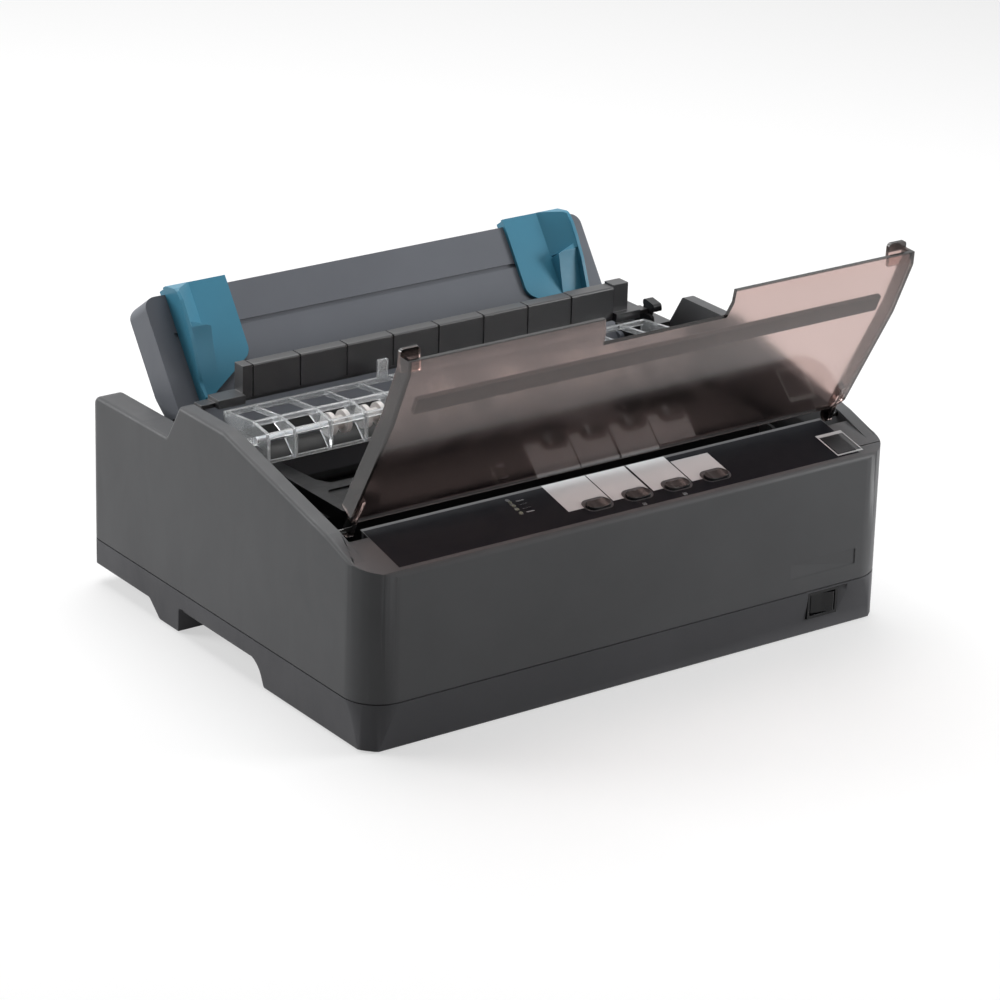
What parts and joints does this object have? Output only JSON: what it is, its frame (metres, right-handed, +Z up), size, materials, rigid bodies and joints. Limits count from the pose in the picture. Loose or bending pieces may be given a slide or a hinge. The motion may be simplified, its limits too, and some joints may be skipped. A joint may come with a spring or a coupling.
{
  "type": "dot matrix printer",
  "caption": "Narrow-carriage dot matrix printer with a hinged smoke cover, a tilting rear paper guide, tractors and a sliding print head.",
  "frame": {"origin": "on the surface it stands on, under the middle of the case footprint", "axes": "+X to the right along the front, +Y to the back, +Z up"},
  "size_m": [0.362, 0.2936, 0.2244],
  "materials": {
    "lower_case_plastic": "fine textured moulding",
    "upper_case_plastic": "fine textured moulding",
    "foot_rubber": "matt",
    "smoke_cover": "transparent smoke tint",
    "cushion_foam": "matt foam",
    "button_plastic": "satin",
    "light_lens": "clear lens",
    "circuit_board": "solder mask",
    "switch_plastic": "satin",
    "guide_plastic": "fine textured moulding",
    "edge_guide_plastic": "satin teal moulding",
    "separator_plastic": "satin",
    "clear_plastic": "clear moulding",
    "bright_steel": "ground",
    "roller_rubber": "pale rubber",
    "platen_rubber": "ground rubber",
    "knob_plastic": "satin",
    "gear_plastic": "natural acetal",
    "brass": "machined",
    "motor_steel": "plated",
    "frame_plastic": "satin",
    "plate_steel": "zinc plated",
    "head_metal": "dark anodised",
    "belt_rubber": "matt",
    "cartridge_plastic": "satin",
    "ribbon_fabric": "inked",
    "lever_plastic": "satin",
    "socket_plastic": "satin",
    "port_metal": "plated shell"
  },
  "bodies": {
    "root": {"lower_case": "lower_case_plastic", "rubber_feet": "foot_rubber", "upper_case": "upper_case_plastic", "status_lights": "light_lens", "panel_board": "circuit_board", "switch_body": "switch_plastic", "paper_separator": "separator_plastic", "tension_unit": "clear_plastic", "tension_shaft": "bright_steel", "feed_motor": "motor_steel", "side_frame_left": "frame_plastic", "side_frame_right": "frame_plastic", "base_plate": "plate_steel", "paper_chute": "frame_plastic", "guide_shaft": "bright_steel", "carriage_rail": "plate_steel", "timing_belt": "belt_rubber", "carriage_motor": "motor_steel", "ribbon_cartridge": "cartridge_plastic", "ribbon_band": "ribbon_fabric", "tractor_support_shaft": "bright_steel", "main_board": "circuit_board", "transformer": "motor_steel", "ac_inlet": "socket_plastic", "interface_ports": "port_metal", "case_screws": "bright_steel"},
    "cover": {"printer_cover": "smoke_cover", "cover_cushion": "cushion_foam"},
    "tear_off_button": {"tear_off_button": "button_plastic"},
    "font_button": {"font_button": "button_plastic"},
    "feed_button": {"feed_button": "button_plastic"},
    "pause_button": {"pause_button": "button_plastic"},
    "power_rocker": {"power_rocker": "switch_plastic"},
    "paper_guide": {"paper_guide": "guide_plastic"},
    "edge_guide_left": {"edge_guide_left": "edge_guide_plastic"},
    "edge_guide_right": {"edge_guide_right": "edge_guide_plastic"},
    "platen": {"platen": "platen_rubber", "platen_shaft": "bright_steel", "platen_knob": "knob_plastic", "platen_gear": "gear_plastic"},
    "idler_gear": {"idler_gear": "gear_plastic"},
    "feed_pinion": {"feed_pinion": "brass"},
    "tractor_drive": {"tractor_drive_shaft": "bright_steel", "tractor_gear": "gear_plastic"},
    "tractor_left": {"tractor_left": "frame_plastic"},
    "tractor_right": {"tractor_right": "frame_plastic"},
    "sprocket_left": {"sprocket_left": "gear_plastic"},
    "sprocket_right": {"sprocket_right": "gear_plastic"},
    "tractor_cover_left": {"tractor_cover_left": "frame_plastic"},
    "tractor_cover_right": {"tractor_cover_right": "frame_plastic"},
    "lock_lever_left": {"lock_lever_left": "lever_plastic"},
    "lock_lever_right": {"lock_lever_right": "lever_plastic"},
    "carriage": {"carriage": "frame_plastic", "print_head": "head_metal"},
    "drive_pulley": {"drive_pulley": "brass"},
    "idler_pulley": {"idler_pulley": "gear_plastic"},
    "ribbon_knob": {"ribbon_knob": "knob_plastic"},
    "tension_rollers": {"tension_rollers": "roller_rubber"},
    "release_lever": {"release_lever": "lever_plastic"},
    "thickness_lever": {"thickness_lever": "lever_plastic"}
  },
  "joints": [
    {"name": "cover_hinge", "type": "hinge", "parent": "root", "child": "cover", "pos_m": [0, -0.09625, 0.10899], "axis": [-1, 0, 0], "range_deg": [0, 106]},
    {"name": "tear_off_button_press", "type": "slide", "parent": "root", "child": "tear_off_button", "axis": [0, 0.2317, -0.9728], "range_m": [0, 0.0012], "stiffness_N_per_m": 300, "springref_m": -0.0004},
    {"name": "font_button_press", "type": "slide", "parent": "root", "child": "font_button", "axis": [0, 0.2317, -0.9728], "range_m": [0, 0.0012], "stiffness_N_per_m": 300, "springref_m": -0.0004},
    {"name": "feed_button_press", "type": "slide", "parent": "root", "child": "feed_button", "axis": [0, 0.2317, -0.9728], "range_m": [0, 0.0012], "stiffness_N_per_m": 300, "springref_m": -0.0004},
    {"name": "pause_button_press", "type": "slide", "parent": "root", "child": "pause_button", "axis": [0, 0.2317, -0.9728], "range_m": [0, 0.0012], "stiffness_N_per_m": 300, "springref_m": -0.0004},
    {"name": "power_switch", "type": "hinge", "parent": "root", "child": "power_rocker", "pos_m": [0.128, -0.13375, 0.018], "axis": [0, 0, 1], "range_deg": [0, 12]},
    {"name": "guide_tilt", "type": "hinge", "parent": "root", "child": "paper_guide", "pos_m": [0, 0.0797, 0.102], "axis": [-1, 0, 0], "range_deg": [0, 54.6]},
    {"name": "edge_guide_left_slide", "type": "slide", "parent": "paper_guide", "child": "edge_guide_left", "axis": [1, 0, 0], "range_m": [0, 0.05]},
    {"name": "edge_guide_right_slide", "type": "slide", "parent": "paper_guide", "child": "edge_guide_right", "axis": [-1, 0, 0], "range_m": [0, 0.05]},
    {"name": "platen_spin", "type": "hinge", "parent": "root", "child": "platen", "pos_m": [0, 0.038, 0.09], "axis": [1, 0, 0], "continuous": true},
    {"name": "idler_spin", "type": "hinge", "parent": "root", "child": "idler_gear", "pos_m": [-0.155, 0.06504, 0.085], "axis": [1, 0, 0], "continuous": true},
    {"name": "pinion_spin", "type": "hinge", "parent": "root", "child": "feed_pinion", "pos_m": [-0.155, 0.03414, 0.0691], "axis": [1, 0, 0], "continuous": true},
    {"name": "tractor_spin", "type": "hinge", "parent": "root", "child": "tractor_drive", "pos_m": [0, 0.09208, 0.08], "axis": [1, 0, 0], "continuous": true},
    {"name": "tractor_left_slide", "type": "slide", "parent": "root", "child": "tractor_left", "axis": [1, 0, 0], "range_m": [-0.012, 0.06]},
    {"name": "tractor_right_slide", "type": "slide", "parent": "root", "child": "tractor_right", "axis": [-1, 0, 0], "range_m": [-0.012, 0.06]},
    {"name": "sprocket_left_spin", "type": "hinge", "parent": "tractor_left", "child": "sprocket_left", "pos_m": [-0.117, 0.09208, 0.08], "axis": [1, 0, 0], "continuous": true},
    {"name": "sprocket_right_spin", "type": "hinge", "parent": "tractor_right", "child": "sprocket_right", "pos_m": [0.117, 0.09208, 0.08], "axis": [1, 0, 0], "continuous": true},
    {"name": "tractor_cover_left_hinge", "type": "hinge", "parent": "tractor_left", "child": "tractor_cover_left", "pos_m": [-0.125, 0.10208, 0.092], "axis": [0, 1, 0], "range_deg": [-90, 0]},
    {"name": "tractor_cover_right_hinge", "type": "hinge", "parent": "tractor_right", "child": "tractor_cover_right", "pos_m": [0.125, 0.10208, 0.092], "axis": [0, -1, 0], "range_deg": [-90, 0]},
    {"name": "lock_lever_left_turn", "type": "hinge", "parent": "tractor_left", "child": "lock_lever_left", "pos_m": [-0.129, 0.10908, 0.073], "axis": [-1, 0, 0], "range_deg": [0, 55]},
    {"name": "lock_lever_right_turn", "type": "hinge", "parent": "tractor_right", "child": "lock_lever_right", "pos_m": [0.129, 0.10908, 0.073], "axis": [-1, 0, 0], "range_deg": [0, 55]},
    {"name": "carriage_slide", "type": "slide", "parent": "root", "child": "carriage", "axis": [1, 0, 0], "range_m": [-0.165, 0.045]},
    {"name": "drive_pulley_spin", "type": "hinge", "parent": "root", "child": "drive_pulley", "pos_m": [-0.124, -0.024, 0.056], "axis": [0, 0, 1], "continuous": true},
    {"name": "idler_pulley_spin", "type": "hinge", "parent": "root", "child": "idler_pulley", "pos_m": [0.124, -0.024, 0.056], "axis": [0, 0, 1], "continuous": true},
    {"name": "ribbon_knob_spin", "type": "hinge", "parent": "root", "child": "ribbon_knob", "pos_m": [-0.116, -0.048, 0.104], "axis": [0, 0, 1], "continuous": true},
    {"name": "tension_roller_spin", "type": "hinge", "parent": "root", "child": "tension_rollers", "pos_m": [0, 0.018, 0.117], "axis": [1, 0, 0], "continuous": true},
    {"name": "release_lever_turn", "type": "hinge", "parent": "root", "child": "release_lever", "pos_m": [0.153, 0.067, 0.09], "axis": [1, 0, 0], "range_deg": [0, 15]},
    {"name": "thickness_lever_turn", "type": "hinge", "parent": "root", "child": "thickness_lever", "pos_m": [-0.153, -0.009, 0.083], "axis": [-1, 0, 0], "range_deg": [0, 20]}
  ],
  "couplings": [
    {"joint": "idler_spin", "follows": "platen_spin", "ratio": -1.2},
    {"joint": "pinion_spin", "follows": "platen_spin", "ratio": -2.4},
    {"joint": "tractor_spin", "follows": "platen_spin", "ratio": 1},
    {"joint": "sprocket_left_spin", "follows": "platen_spin", "ratio": 1},
    {"joint": "sprocket_right_spin", "follows": "platen_spin", "ratio": 1},
    {"joint": "drive_pulley_spin", "follows": "carriage_slide", "rad_per_m": 153.85},
    {"joint": "idler_pulley_spin", "follows": "carriage_slide", "rad_per_m": 153.85}
  ]
}
